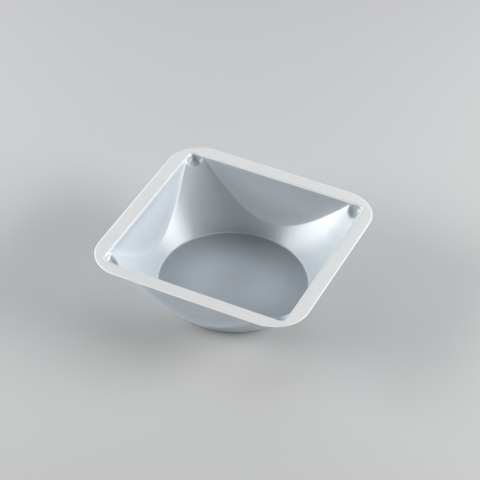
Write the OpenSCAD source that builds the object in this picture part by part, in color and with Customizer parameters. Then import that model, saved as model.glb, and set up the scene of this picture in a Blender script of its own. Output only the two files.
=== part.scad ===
// Square weighing boat: one piece of thin sheet, formed over a mould.
// Four steep flat walls cut a round cone-sided bowl, so each wall meets the
// cone in a curved crease, and the cone shows as a fan in each corner.
// Frame: origin at the middle of the floor's underside, +Z up, millimetres.

/* [Sheet] */
// Thickness of the formed sheet
sheet = 0.3; // [0.2:0.05:0.8]
// Height from the floor's underside to the rim's top face
boat_h = 25.4; // [16:0.2:32]

/* [Rim] */
// Outer side of the square rim
rim_side = 89; // [84:0.5:110]
// Outer corner radius of the rim
rim_corner_r = 14.7; // [8:0.1:18]
// Rim width, from its outer edge to the sharp edge of the mouth
rim_w = 6.2; // [4.5:0.1:8]
// Radius of the bend from the rim's top face down into a wall
bend_r = 1.5; // [1:0.1:2.5]

/* [Walls] */
// Lean of the flat walls from the vertical, in degrees
wall_lean = 11.3; // [6:0.1:16]

/* [Bowl] */
// Diameter of the flat floor inside, up to the sharp foot of the cone
floor_d = 60.4; // [50:0.2:66]
// Slope of the cone from the horizontal, in degrees
cone_slope = 50.6; // [46:0.1:60]
// Inside radius of the bend from the floor up into the cone
foot_r = 1; // [0.5:0.1:3]

/* [Stacking pockets] */
// Diameter of the ball that forms the pocket in each corner of the mouth
pocket_d = 7.4; // [6:0.1:9]
// Depth of a pocket's lowest point below the rim's top face
pocket_depth = 3.4; // [2.4:0.1:4]
// Distance of a pocket's centre inward from the cone's top edge
pocket_inset = 1; // [0:0.1:2]

/* [Hidden] */
$fn = 128;
mouth_half = rim_side / 2 - rim_w;      // half the mouth, to its sharp edge
floor_half = floor_d / 2;
cone_top_r = floor_half + (boat_h - sheet) / tan(cone_slope);
pocket_at = (cone_top_r - pocket_inset) / sqrt(2);
reach = rim_side;                       // a length that passes the whole boat
lap = 0.01;                             // how far a bend runs past a flat face

// Half-width at height z of a face that rises at slope a from the horizontal,
// has half-width w at height z0, and is set outward by grow
function face_x(z, w, z0, a, grow) = w + (z - z0) / tan(a) + grow / sin(a);

// Space between two opposite walls, along the whole boat. Each wall leans out
// and then bends over, with radius r, to level at height top. The bend cuts the
// wall and the level at a slight angle, as a tangent meeting has no clean edge
module wall_pair(grow, top, r) {
    slope = 90 - wall_lean;
    near = r - lap;                     // from the bend's centre to both
    bend_z = top - near;
    bend_x = face_x(bend_z, mouth_half, boat_h, slope, grow) + near / sin(slope);
    foot_z = bend_z + near * cos(slope);
    rotate([90, 0, 0]) linear_extrude(2 * reach, center = true)
        for (side = [0, 1]) mirror([side, 0]) {
            polygon([
                [0, -reach],
                [face_x(-reach, mouth_half, boat_h, slope, grow), -reach],
                [face_x(top, mouth_half, boat_h, slope, grow), top],
                [0, top]
            ]);
            difference() {
                translate([0, foot_z]) square([bend_x, reach]);
                translate([bend_x, bend_z]) circle(r);
            }
        }
}

// The cone with its rounded foot, up from a flat floor at height low
module cone_form(grow, low) {
    round_r = foot_r + grow;
    round_z = low + round_r;
    round_x = face_x(round_z, floor_half, sheet, cone_slope, grow) - round_r / sin(cone_slope);
    round_end = [round_x + round_r * sin(cone_slope), round_z - round_r * cos(cone_slope)];
    top = 2 * boat_h;
    rotate_extrude() {
        polygon([
            [0, low],
            [round_x, low],
            [round_x, round_end[1]],
            round_end,
            [face_x(top, floor_half, sheet, cone_slope, grow), top],
            [0, top]
        ]);
        intersection() {
            translate([round_x, round_z]) circle(round_r);
            translate([round_x, low - round_r]) square([round_r, round_end[1] - low + round_r]);
        }
    }
}

// The bowl's whole form, set outward by grow
module bowl_form(grow, low, top, r) {
    intersection() {
        wall_pair(grow, top, r);
        rotate([0, 0, 90]) wall_pair(grow, top, r);
        cone_form(grow, low);
    }
}

// Flat plate of the rim, with round corners
module rim_plate() {
    side = rim_side - 2 * rim_corner_r;
    translate([0, 0, boat_h - sheet]) linear_extrude(sheet) {
        square([rim_side, side], center = true);
        square([side, rim_side], center = true);
        for (x = [-1, 1], y = [-1, 1])
            translate([x * side / 2, y * side / 2]) circle(rim_corner_r);
    }
}

// The pockets, one in each corner of the mouth, set outward by grow. Each is
// the lower part of a ball, kept between the walls and below height top
module pockets(grow, top, r) {
    ball_z = boat_h - pocket_depth + pocket_d / 2;
    intersection() {
        wall_pair(grow, top, r);
        rotate([0, 0, 90]) wall_pair(grow, top, r);
        translate([-reach, -reach, 0]) cube([2 * reach, 2 * reach, top + lap]);
        for (turn = [0 : 90 : 270]) rotate([0, 0, turn])
            translate([pocket_at, pocket_at, ball_z]) sphere(d = pocket_d + 2 * grow);
    }
}

module boat() {
    color("gainsboro") difference() {
        union() {
            rim_plate();
            intersection() {
                bowl_form(sheet, 0, boat_h - sheet, bend_r - sheet);
                translate([-reach, -reach, 0]) cube([2 * reach, 2 * reach, boat_h - sheet / 2]);
            }
            pockets(sheet, boat_h - sheet, bend_r - sheet);
        }
        bowl_form(0, sheet, boat_h, bend_r);
        pockets(0, boat_h, bend_r);
    }
}

boat();
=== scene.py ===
# %% [markdown]
# # A square weighing boat
# A weighing boat is a throwaway dish for weighing out powder. It is one sheet of milky
# polystyrene, warmed until it is soft and drawn down over a mould. The measured model gives
# its size and its place. Here the same sheet is drawn again as a finer mesh, so that its
# folds are soft, and then it gets its plastic, a table to stand on and some light.

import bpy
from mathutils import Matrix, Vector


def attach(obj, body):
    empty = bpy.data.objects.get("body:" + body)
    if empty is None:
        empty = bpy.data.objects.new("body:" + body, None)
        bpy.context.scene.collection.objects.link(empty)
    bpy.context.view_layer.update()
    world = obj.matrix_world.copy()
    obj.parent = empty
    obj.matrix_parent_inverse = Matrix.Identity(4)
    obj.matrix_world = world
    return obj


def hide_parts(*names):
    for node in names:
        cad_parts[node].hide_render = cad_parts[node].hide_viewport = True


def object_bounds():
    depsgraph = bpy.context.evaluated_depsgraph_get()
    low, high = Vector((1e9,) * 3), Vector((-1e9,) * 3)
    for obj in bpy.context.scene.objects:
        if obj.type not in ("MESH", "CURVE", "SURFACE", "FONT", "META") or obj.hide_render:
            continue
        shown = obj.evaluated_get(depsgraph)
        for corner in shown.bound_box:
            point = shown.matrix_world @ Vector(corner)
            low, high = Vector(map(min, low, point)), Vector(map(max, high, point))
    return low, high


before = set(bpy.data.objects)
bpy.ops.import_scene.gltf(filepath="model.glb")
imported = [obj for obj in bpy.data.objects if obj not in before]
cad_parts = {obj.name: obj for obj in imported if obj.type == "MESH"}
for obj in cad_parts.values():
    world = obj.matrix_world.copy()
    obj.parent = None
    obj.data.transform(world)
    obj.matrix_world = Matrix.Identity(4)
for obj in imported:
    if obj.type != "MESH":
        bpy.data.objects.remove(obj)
cad_low, cad_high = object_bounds()
print("measured model, mm:", [round(1000 * (b - a), 2) for a, b in zip(cad_low, cad_high)])

# %% The tools of this lesson
import math

import bmesh
import bpy
import numpy as np
from mathutils import Matrix, Vector

MM = 0.001      # the scene is in metres, and the sizes below are in millimetres
print("1 mm is", MM, "of the scene's units")

# %% [markdown]
# ## The camera
# A small object is best seen from a little way off through a long lens, so that its near
# and far sides keep almost the same size. The camera is turned a little to one side of the
# boat, looks down into it and is held slightly tilted. A camera can be aimed with a Track To
# constraint, but then it can't tilt, so here its three axes are worked out and set.

# %% How the camera is held
TURN, TILT, ROLL = math.radians(23.61583), math.radians(39.70448), math.radians(2.71874)
DISTANCE = 771.776 * MM
SIDE_SHIFT, UP_SHIFT = -1.7401 * MM, 2.976 * MM
SENSOR, FOCAL = 36, 147.884     # millimetres


def camera_axes():
    """Right, up and backward for a camera turned, tilted and rolled by the angles above."""
    level_back = Vector((math.sin(TURN), -math.cos(TURN), 0))
    back = math.cos(TILT) * level_back + Vector((0, 0, math.sin(TILT)))
    level = Vector((math.cos(TURN), math.sin(TURN), 0))
    upright = back.cross(level)
    right = math.cos(ROLL) * level + math.sin(ROLL) * upright
    return right, back.cross(right), back


# %% Place the camera
right, up, back = camera_axes()
rim_middle = Vector((0, 0, cad_high.z))
place = rim_middle + DISTANCE * back - SIDE_SHIFT * right - UP_SHIFT * up
lens = bpy.data.cameras.new("camera")
lens.sensor_width, lens.lens, lens.clip_start = SENSOR, FOCAL, 10 * MM
camera = bpy.data.objects.new("camera", lens)
camera.matrix_world = Matrix((
    (right.x, up.x, back.x, place.x),
    (right.y, up.y, back.y, place.y),
    (right.z, up.z, back.z, place.z),
    (0, 0, 0, 1),
))
bpy.context.collection.objects.link(camera)
bpy.context.scene.camera = camera
print("camera at, mm:", [round(c / MM) for c in place])

# %% [markdown]
# ## The mould
# The inside of a weighing boat is the room that a cone and four leaning walls share, with a
# flat floor below. It could be cut from blocks with booleans, but each fold would then be
# sharp and its bevel would break where three folds meet. Distances are kinder: every wall
# has a distance that is negative on its air side. The larger of two distances is the air
# that both share, and the smaller joins two rooms of air. A rounded larger or smaller gives
# each fold the soft radius of a drawn sheet.

# %% Sizes of the boat, in millimetres and angles
SHEET = 0.3
HEIGHT = 25.4
RIM_HALF, RIM_CORNER = 44.5, 14.7
MOUTH_HALF, MOUTH_CORNER = 38.3, 1.2
FLOOR_R = 30.2
LEAN, SLOPE = math.radians(11.3), math.radians(50.6)
BEND, FOOT, CREASE = 1.5, 1.0, 1.2      # radii: rim to wall, floor to cone, cone to wall
CREASE_TURN = math.radians(35)
print("rim, mm:", 2 * RIM_HALF, "mouth, mm:", 2 * MOUTH_HALF, "floor, mm:", 2 * FLOOR_R)

# %% Soft meetings of two distances


def soft_larger(a, b, r):
    """The larger of two distances, with the meeting rounded."""
    near = np.hypot(np.maximum(a + r, 0), np.maximum(b + r, 0))
    return np.minimum(np.maximum(a, b), -r) + near


def soft_smaller(a, b, r):
    """The smaller of two distances, with the meeting rounded."""
    return -soft_larger(-a, -b, r)


def roundness(radius, turn):
    """What the soft meetings need for a bend of this radius that turns by this angle."""
    return radius * math.tan(turn / 2) * math.sin(turn)


print("roundness of the rim's bend:", round(roundness(BEND, math.pi / 2 - LEAN), 3))

# %% The walls, the cone and the floor


def wall_gap(across, z):
    """Distance from a pair of flat walls, below 0 inside the boat."""
    return (np.abs(across) - MOUTH_HALF - (z - HEIGHT) * math.tan(LEAN)) * math.cos(LEAN)


def four_walls_gap(x, y, z):
    """Distance from all four walls, with their corners rounded."""
    return soft_larger(wall_gap(x, z), wall_gap(y, z), MOUTH_CORNER)


def cone_gap(x, y, z):
    """Distance from the cone, below 0 inside the boat."""
    return (np.hypot(x, y) - FLOOR_R - (z - SHEET) / math.tan(SLOPE)) * math.sin(SLOPE)


def bowl_gap(x, y, z):
    """Distance from the bowl: the floor, the cone and the walls."""
    bowl = soft_larger(cone_gap(x, y, z), SHEET - z, roundness(FOOT, SLOPE))
    return soft_larger(bowl, four_walls_gap(x, y, z), roundness(CREASE, CREASE_TURN))


print("floor at the middle:", round(float(bowl_gap(0, 0, SHEET)), 3), "mm from the mould")

# %% [markdown]
# ### The dents in the corners
# Each corner has a small ball-shaped dent just under the rim. It lets stacked boats come
# apart, and it stiffens the corner that powder is poured from. A ball that opens into the
# bowl is one more room of air, so it is joined with the rounded smaller distance, and that
# rounding makes its soft lip.

# %% The dents, and the whole upper face of the sheet
DENT_R, DENT_AT, DENT_UP = 3.7, 35.2, 0.3   # radius, and its middle: out, and over the rim
DENT_LIP, DENT_EDGE = 0.55, 0.5             # soft meetings with the bowl and with the walls
HALVINGS = 36                               # of the span in which a height is looked for


def dent_gap(x, y, z):
    """Distance from the ball-shaped dents, one in each corner, kept inside the walls."""
    over = z - HEIGHT - DENT_UP
    ball = np.sqrt((np.abs(x) - DENT_AT) ** 2 + (np.abs(y) - DENT_AT) ** 2 + over ** 2) - DENT_R
    return soft_larger(ball, four_walls_gap(x, y, z), DENT_EDGE)


def rimmed(room, z):
    """Join a room of air to the air over the rim, with the rim's bend."""
    return soft_smaller(room, HEIGHT - z, roundness(BEND, math.pi / 2 - LEAN))


def plain_gap(x, y, z):
    """The sheet's upper face as it would be without dents."""
    return rimmed(bowl_gap(x, y, z), z)


def sheet_gap(x, y, z):
    """Below 0 in the air over the sheet, above 0 under its upper face."""
    return rimmed(soft_smaller(bowl_gap(x, y, z), dent_gap(x, y, z), DENT_LIP), z)


def height_where(gap, x, y):
    """Height at which a gap is 0, found by halving the span that holds it."""
    low, high = np.zeros_like(x), np.full_like(x, HEIGHT + 1e-6)
    for _ in range(HALVINGS):
        middle = (low + high) / 2
        under = gap(x, y, middle) > 0
        low, high = np.where(under, middle, low), np.where(under, high, middle)
    return (low + high) / 2


corner = np.array([DENT_AT])
print("lowest point of a dent, mm:", np.round(height_where(sheet_gap, corner, corner), 2))

# %% [markdown]
# ## Where the mesh needs its points
# One eighth of the boat holds every form, because the rest is its mirror image. A flat grid
# is laid over that eighth, and each of its lines runs from the middle of the floor out to
# the rim. Even spacing would waste points on the flat floor and miss the bends. A
# subdivision surface would soften everything alike. So each line asks how much its height
# turns, and its points are shared out by that.

# %% The lines of one eighth, from the middle of the floor to the cut edge
ROWS, SAMPLES = 92, 1600
DENT_FROM = math.radians(35)
PLAIN_LINES, DENT_LINES = 20, 33
angles = np.concatenate([
    np.linspace(0, DENT_FROM, PLAIN_LINES + 1)[:-1],
    np.linspace(DENT_FROM, math.radians(45), DENT_LINES),
])


def rim_reach(angle):
    """Distance from the middle to the rim's cut edge, along a line at this angle."""
    straight = RIM_HALF - RIM_CORNER
    along = RIM_HALF / math.cos(angle)
    if along * math.sin(angle) <= straight:
        return along
    middle = straight * (math.cos(angle) + math.sin(angle))
    return middle + math.sqrt(RIM_CORNER ** 2 - 2 * straight ** 2 + middle ** 2)


reach = np.outer([rim_reach(angle) for angle in angles], np.linspace(0, 1, SAMPLES))
side_x, side_y = np.cos(angles)[:, None], np.sin(angles)[:, None]
print("lines:", len(angles), "reach, mm:", reach[0, -1].round(2), "to", reach[-1, -1].round(2))

# %% Ask each short step of each line how many points it needs
LONGEST, MOST_TURN = 2.4, math.radians(7)       # what one point can cover, mm and angle
EVERYWHERE = 8                                  # mm to a point even where nothing turns
ALONG_LINE, ACROSS_LINES = 4, 6                 # how far the wish is spread, in steps and lines


def averaged(rows, width, axis):
    """Average over neighbours up to this far away, with the ends mirrored."""
    pad = [(0, 0), (0, 0)]
    pad[axis] = (width, width)
    wide = np.pad(rows, pad, mode="reflect")
    weights = np.hanning(2 * width + 3)[1:-1]
    weights /= weights.sum()
    size = rows.shape[axis]
    return sum(w * np.take(wide, range(n, n + size), axis) for n, w in enumerate(weights))


def points_needed(gap):
    """Some points for a step's length, and more for how far it turns."""
    z = height_where(gap, reach * side_x, reach * side_y)
    step = np.hypot(np.diff(reach), np.diff(z))
    lean = np.arctan2(np.diff(z), np.diff(reach))
    turn = np.abs(np.diff(lean, append=lean[:, -1:]))
    return averaged(step / LONGEST + turn / MOST_TURN, ALONG_LINE, 1) + step / EVERYWHERE


plain = points_needed(plain_gap)
for_dents = averaged(np.maximum(points_needed(sheet_gap) - plain, 0), ACROSS_LINES, 0)
need = plain + for_dents
print("points asked for by the first and last line:", need.sum(axis=1)[[0, -1]].round())

# %% Share the points out and find their heights
lines = []
for i, angle in enumerate(angles):
    asked = np.concatenate([[0], np.cumsum(need[i])])
    chosen = np.interp(np.linspace(0, asked[-1], ROWS), asked, reach[i])
    x, y = chosen * math.cos(angle), chosen * math.sin(angle)
    lines.append(np.stack([x, y, height_where(sheet_gap, x, y)], axis=1))
highest = max(line[:, 2].max() for line in lines)
print("points on each line:", ROWS, "highest, mm:", highest.round(3))

# %% [markdown]
# ## How milky each part is
# The rim is clamped while the rest is drawn down, so it stays as thick and as white as the
# sheet was. The walls, and most of all the dents, are stretched thin and look greyer and
# bluer. The floor's milk is highest at its middle and falls towards its edge. Part of that is
# real: the flat end of the plug chills the floor, which stretches least at its middle. Part
# of it is painted shade where the walls shade the edge of the floor. The fold round the floor
# gets a thin lighter line, which is a painted highlight where that fold mirrors the lamps. A
# texture could be painted, but a number on each vertex follows the folds exactly.

# %% Say how much of its white each part keeps
# The floor's two values carry painted shade at its edge, and the fold's value is a painted
# highlight.
MILK_CONE, MILK_FLOOR_SHADED_EDGE, MILK_FLOOR, MILK_DENT, MILK_FOLD_HIGHLIGHT = 0.14, 0.16, 0.58, 0.1, 0.33
CONE_FADE = 3                               # mm from the cone in which its milk fades
FLOOR_FADE = SHEET + 0.12, SHEET + 0.01     # heights between which the floor takes over
# Heights of the painted highlight on the fold round the floor.
FOLD_HIGHLIGHT_RISE = SHEET + 0.02, SHEET + 0.12      # the same for the fold, from below
FOLD_HIGHLIGHT_FALL = SHEET + 0.45, SHEET + 0.2       # and from above
DENT_FADE = 0.15, 0.9                       # mm outside the bowl
RIM_FADE = HEIGHT - 0.6, HEIGHT - 0.05      # heights between which the rim takes over


def smooth_step(value, start, end):
    """From 0 at start to 1 at end, level at both."""
    t = min(max((value - start) / (end - start), 0), 1)
    return t * t * (3 - 2 * t)


def milk_at(x, y, z):
    """1 on the rim, less on the parts that are drawn thin."""
    milk = MILK_CONE * smooth_step(-cone_gap(x, y, z), CONE_FADE, 0)
    # Partly painted shade: the floor's milk is lower at its edge, by the walls, than at its
    # middle.
    inward = smooth_step(math.hypot(x, y), FLOOR_R, 0)
    floor = MILK_FLOOR_SHADED_EDGE + (MILK_FLOOR - MILK_FLOOR_SHADED_EDGE) * inward
    milk += (floor - milk) * smooth_step(z, *FLOOR_FADE)
    # A painted highlight: a thin lighter line along the fold round the floor.
    milk += (MILK_FOLD_HIGHLIGHT - milk) * smooth_step(z, *FOLD_HIGHLIGHT_RISE) * smooth_step(z, *FOLD_HIGHLIGHT_FALL)
    milk += (MILK_DENT - milk) * smooth_step(bowl_gap(x, y, z), *DENT_FADE)
    return milk + (1 - milk) * smooth_step(z, *RIM_FADE)


print("milk at the middle of the floor:", milk_at(0.0, 0.0, SHEET))
print("milk on the rim:", milk_at(42.0, 0.0, HEIGHT))

# %% [markdown]
# ## The drawn sheet
# The grid's points go to their lines, and the eighth is mirrored three times: over the
# diagonal, over one middle line and over the other. Points that meet are merged, so the
# sheet closes over the middle of the floor with no seam. Solidify then gives it its real
# thickness of 0.3 mm downwards, because the mould above was its upper face, and a fine bevel
# takes the sharpness off the cut edge, which the knife leaves a little rounded.

# %% Lay the grid over one eighth of the mould
bm = bmesh.new()
bmesh.ops.create_grid(bm, x_segments=len(angles) - 1, y_segments=ROWS - 1, size=1)
for vert in bm.verts:
    line = round((vert.co.x + 1) / 2 * (len(angles) - 1))
    row = round((vert.co.y + 1) / 2 * (ROWS - 1))
    vert.co = Vector(lines[line][row]) * MM
print("faces in one eighth:", len(bm.faces))

# %% Mirror it to the whole boat
MERGE = 0.0005      # mm within which points are taken as one


def mirrored(bm, normal):
    """Add the mirror image over a plane through the middle, and merge what meets."""
    normal = Vector(normal).normalized()
    whole = bm.verts[:] + bm.edges[:] + bm.faces[:]
    image = bmesh.ops.duplicate(bm, geom=whole)["geom"]
    for vert in (v for v in image if isinstance(v, bmesh.types.BMVert)):
        vert.co -= 2 * vert.co.dot(normal) * normal
    bmesh.ops.reverse_faces(bm, faces=[f for f in image if isinstance(f, bmesh.types.BMFace)])
    bmesh.ops.remove_doubles(bm, verts=bm.verts[:], dist=MERGE * MM)


for normal in ((1, -1, 0), (0, 1, 0), (1, 0, 0)):
    mirrored(bm, normal)
bmesh.ops.recalc_face_normals(bm, faces=bm.faces[:])
centre = min(bm.faces, key=lambda f: f.calc_center_median().xy.length)
if centre.normal.z < 0:
    bmesh.ops.reverse_faces(bm, faces=bm.faces[:])
print("faces on the upper side:", len(bm.faces))
print("edges along the cut:", sum(e.is_boundary for e in bm.edges))

# %% Write the milk on its vertices and make it an object
for face in bm.faces:
    face.smooth = True
layer = bm.verts.layers.float.new("milk")
for vert in bm.verts:
    vert[layer] = milk_at(*(np.float64(c / MM) for c in vert.co))
mesh = bpy.data.meshes.new("drawn_sheet")
bm.to_mesh(mesh)
bm.free()
sheet = bpy.data.objects.new("drawn_sheet", mesh)
bpy.context.collection.objects.link(sheet)
print("vertices:", len(mesh.vertices), "attributes:", "milk" in mesh.attributes)

# %% Give the sheet its thickness and a cut edge
CUT_BEVEL = 0.07        # mm
thick = sheet.modifiers.new("thickness", "SOLIDIFY")
thick.thickness, thick.offset, thick.use_even_offset = SHEET * MM, -1, True
edge = sheet.modifiers.new("cut_edge", "BEVEL")
edge.width, edge.segments, edge.limit_method = CUT_BEVEL * MM, 2, "ANGLE"
edge.angle_limit = math.radians(60)
print("thickness, mm:", SHEET, "bevel on the cut edge, mm:", CUT_BEVEL)

# %% [markdown]
# ## The plastic
# Milky polystyrene scatters light inside, and a thin wall of it lets some through. Glass or
# transmission would show the table sharply behind the wall, which the real one never does.
# Half of the light is therefore scattered at the surface and half below it. That half
# spreads further than the sheet is thick, so a wall lit from outside glows faintly inside.
# The skin is smooth where it lay against the mould and shines softly, with faint lines
# where it was drawn.

# %% Shader maths as plain sums


class Wire:
    """A socket in a material that can be added, multiplied and so on like a number."""

    def __init__(self, tree, socket=None):
        self.tree, self.socket = tree, socket

    def node(self, kind, settings=None, output=0, **inputs):
        """Any other node: its type, its settings, which output is wanted and its inputs."""
        made = self.tree.nodes.new("ShaderNode" + kind)
        for name, value in (settings or {}).items():
            setattr(made, name, value)
        for name, value in inputs.items():
            socket = int(name[1:]) if name[1:].isdigit() else name
            self.feed(value, made.inputs[socket])
        return Wire(self.tree, made.outputs[output])

    def feed(self, value, socket):
        """Set a socket to a number or a colour, or link a wire to it."""
        if isinstance(value, Wire):
            self.tree.links.new(value.socket, socket)
        else:
            socket.default_value = value

    def sum(self, operation, *values):
        numbered = {f"i{n}": value for n, value in enumerate(values)}
        return self.node("Math", {"operation": operation}, **numbered)

    def __add__(self, other):
        return self.sum("ADD", self, other)

    def __sub__(self, other):
        return self.sum("SUBTRACT", self, other)

    def __mul__(self, other):
        return self.sum("MULTIPLY", self, other)

    def __truediv__(self, other):
        return self.sum("DIVIDE", self, other)

    def __rsub__(self, other):
        return self.sum("SUBTRACT", other, self)

    __radd__, __rmul__ = __add__, __mul__

    def __abs__(self):
        return self.sum("ABSOLUTE", self)

    def root(self):
        return self.sum("SQRT", self)

    def at_least(self, least):
        return self.sum("MAXIMUM", self, least)

    def at_most(self, most):
        return self.sum("MINIMUM", self, most)

    def smooth(self, start, end):
        """From 0 at start to 1 at end, level at both."""
        t = ((self - start) / (end - start)).at_least(0).at_most(1)
        return t * t * (3 - 2 * t)

    def between(self, low, high):
        """A colour between two colours, chosen by this wire."""
        return self.node("Mix", {"data_type": "RGBA"}, output=2, i0=self, i6=low, i7=high)


print("a Wire can do", ", ".join(name for name in vars(Wire) if not name.startswith("__init")))

# %% Start the material, and read where each point is
material = bpy.data.materials.new("milky_polystyrene")
material.use_nodes = True
shader = material.node_tree.nodes["Principled BSDF"].inputs
plastic = Wire(material.node_tree)
spot = plastic.node("TexCoord", output="Object")
x, y, z = (plastic.node("SeparateXYZ", output=axis, Vector=spot) / MM for axis in "XYZ")
milk = plastic.node("Attribute", {"attribute_name": "milk"}, output="Fac")
from_middle = (x * x + y * y).root().at_least(1)
print("nodes so far:", len(material.node_tree.nodes))

# %% Clouds in the sheet and the lines in which it was drawn
CLOUD_SCALE, DRAWN_SCALE = 70.0, 34.0
DRAWN_WANDER = 0.004        # how fast a line changes on its way up
DRAWN_SHARE = 0.9
HALF_MILK, FULL_MILK = 0.5, 1
cloud = plastic.node("TexNoise", Vector=spot, Scale=CLOUD_SCALE, Detail=4.0, Roughness=0.6)
ray = plastic.node("CombineXYZ", X=x / from_middle, Y=y / from_middle, Z=z * DRAWN_WANDER)
drawn = plastic.node("TexNoise", Vector=ray, Scale=DRAWN_SCALE, Detail=3.0, Roughness=0.55)
on_slope = from_middle.smooth(FLOOR_R - 1, FLOOR_R + 3) * (1 - milk.smooth(HALF_MILK, FULL_MILK))
grain = cloud + (drawn - 0.5) * on_slope * DRAWN_SHARE
print("nodes with clouds and drawn lines:", len(material.node_tree.nodes))

# %% The colour, from drawn thin to full thickness
# HALF is written lighter than FULL, although that sheet is thinner. The floor has it. Under
# low lamps the walls shade the floor, which would otherwise look too dark.
THIN = (0.31, 0.346, 0.379, 1), (0.35, 0.384, 0.415, 1)
HALF = (0.71, 0.795, 0.86, 1), (0.77, 0.855, 0.9, 1)
FULL = (0.6, 0.603, 0.597, 1), (0.66, 0.663, 0.655, 1)
thin, half, full = grain.between(*THIN), cloud.between(*HALF), cloud.between(*FULL)
drawn_down = milk.smooth(0, HALF_MILK).between(thin, half)
body = milk.smooth(HALF_MILK, FULL_MILK).between(drawn_down, full)
print("thin, half and full thickness are mixed by the milk on the vertices")

# %% [markdown]
# ### The cut edge
# A knife or a punch cuts the boat from its sheet. A thin band of the rim just inside the cut
# is painted near-white, a painted highlight that shows as a bright line round the rim. It is
# found by the distance from the rim's outline, which is the same rounded square as in the mould.

# %% Whiten the cut edge as a painted highlight
STRAIGHT = RIM_HALF - RIM_CORNER
WHITE_FROM, WHITE_TO = 0.5, 0.1     # mm inside the cut
WHITE, EDGE_HIGHLIGHT_SHARE = 0.9, 0.8
corner_x = (abs(x) - STRAIGHT).at_least(0)
corner_y = (abs(y) - STRAIGHT).at_least(0)
past_edge = (corner_x * corner_x + corner_y * corner_y).root() - RIM_CORNER
# A painted highlight: the band just inside the cut is mixed towards near-white.
whitened = past_edge.smooth(-WHITE_FROM, -WHITE_TO) * EDGE_HIGHLIGHT_SHARE
colour = whitened.between(body, (WHITE, WHITE, WHITE, 1))
plastic.feed(colour, shader["Base Color"])
print("the whitened edge starts", WHITE_FROM, "mm from the cut")

# %% Its gloss and its faint waves
SMOOTHEST, GRAIN_SHARE = 0.26, 0.08
POLYSTYRENE = 1.59                  # its index of refraction
WAVE_SCALE, LINES_SHARE = 130.0, 0.3
plastic.feed(grain * GRAIN_SHARE + SMOOTHEST, shader["Roughness"])
shader["IOR"].default_value = POLYSTYRENE
wave = plastic.node("TexNoise", Vector=spot, Scale=WAVE_SCALE, Detail=2.0, Roughness=0.5)
relief = wave + drawn * on_slope * LINES_SHARE
bump = plastic.node("Bump", Height=relief, Strength=0.12, Distance=0.8 * MM)
plastic.feed(bump, shader["Normal"])
print("nodes in the plastic:", len(material.node_tree.nodes))

# %% Scatter half of the light below the surface
BELOW_SURFACE, SPREAD = 0.5, 2.2    # share of the light, and how far it spreads, in mm
shader["Subsurface Weight"].default_value = BELOW_SURFACE
shader["Subsurface Radius"].default_value = (1, 1, 1)
shader["Subsurface Scale"].default_value = SPREAD * MM
mesh.materials.append(material)
print("materials on the sheet:", [m.name for m in mesh.materials])

# %% [markdown]
# ## The table and the light
# The boat stands on a plain pale table that reaches past the view on every side. Two
# large soft lamps stand low at its left and right. They light the walls that face them, and
# each is mirrored as a soft bright patch on the cone. A third, larger and cooler, hangs
# behind the boat like a window and gives the rim and the floor their even sheen. Small bare
# lamps would leave hard points of light on a surface that is this smooth.

# %% A pale table


def plain_material(name, value):
    """A dull grey of this brightness."""
    made = bpy.data.materials.new(name)
    made.use_nodes = True
    dull = made.node_tree.nodes["Principled BSDF"].inputs
    dull["Base Color"].default_value = (value, value, value, 1)
    dull["Roughness"].default_value = 0.8
    dull["Specular IOR Level"].default_value = 0.1
    return made


TABLE_HALF, TABLE_GREY = 3, 0.5     # half its side in metres, and its brightness
TABLE_GAP = 0.1                     # mm under the boat, so that the two never flicker
bm = bmesh.new()
bmesh.ops.create_grid(bm, x_segments=1, y_segments=1, size=TABLE_HALF)
table_mesh = bpy.data.meshes.new("table")
bm.to_mesh(table_mesh)
bm.free()
table_mesh.materials.append(plain_material("pale_table", TABLE_GREY))
table = bpy.data.objects.new("table", table_mesh)
table.location.z = cad_low.z - TABLE_GAP * MM
bpy.context.collection.objects.link(table)
print("table top, mm:", round(table.location.z / MM, 2))

# %% Large soft lamps


def softbox(name, azimuth, height, distance, size, watts, tint=(1, 1, 1)):
    """A large rectangular lamp that looks at the boat.

    Azimuth and height are in degrees, distance and size in metres.
    """
    data = bpy.data.lights.new(name, "AREA")
    data.shape, (data.size, data.size_y) = "RECTANGLE", size
    data.energy, data.color = watts, tint
    around, over = math.radians(azimuth), math.radians(height)
    level = Vector((math.cos(around), math.sin(around), 0))
    towards = math.cos(over) * level + Vector((0, 0, math.sin(over)))
    lamp = bpy.data.objects.new(name, data)
    lamp.location = towards * distance
    lamp.rotation_mode = "QUATERNION"
    lamp.rotation_quaternion = towards.to_track_quat("Z", "Y")
    bpy.context.collection.objects.link(lamp)
    print(name, "at, mm:", [round(c / MM) for c in lamp.location])


COOL = (0.88, 0.94, 1)
softbox("right_lamp", azimuth=23, height=19, distance=0.6, size=(0.44, 0.3), watts=6.0)
softbox("left_lamp", azimuth=203, height=17, distance=0.6, size=(0.46, 0.34), watts=5.9)
softbox("window", azimuth=114, height=54, distance=0.7, size=(0.8, 0.8), watts=2.0, tint=COOL)

# %% A little light from everywhere
WORLD_LIGHT = 0.04
world = bpy.context.scene.world or bpy.data.worlds.new("world")
bpy.context.scene.world = world
world.use_nodes = True
background = world.node_tree.nodes["Background"].inputs
background["Color"].default_value = (1, 1, 1, 1)
background["Strength"].default_value = WORLD_LIGHT
bpy.context.scene.view_settings.view_transform = "Standard"
print("world strength:", WORLD_LIGHT)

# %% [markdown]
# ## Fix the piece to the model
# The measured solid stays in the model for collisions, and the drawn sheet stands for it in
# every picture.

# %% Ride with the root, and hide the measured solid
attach(sheet, "root")
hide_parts("boat")
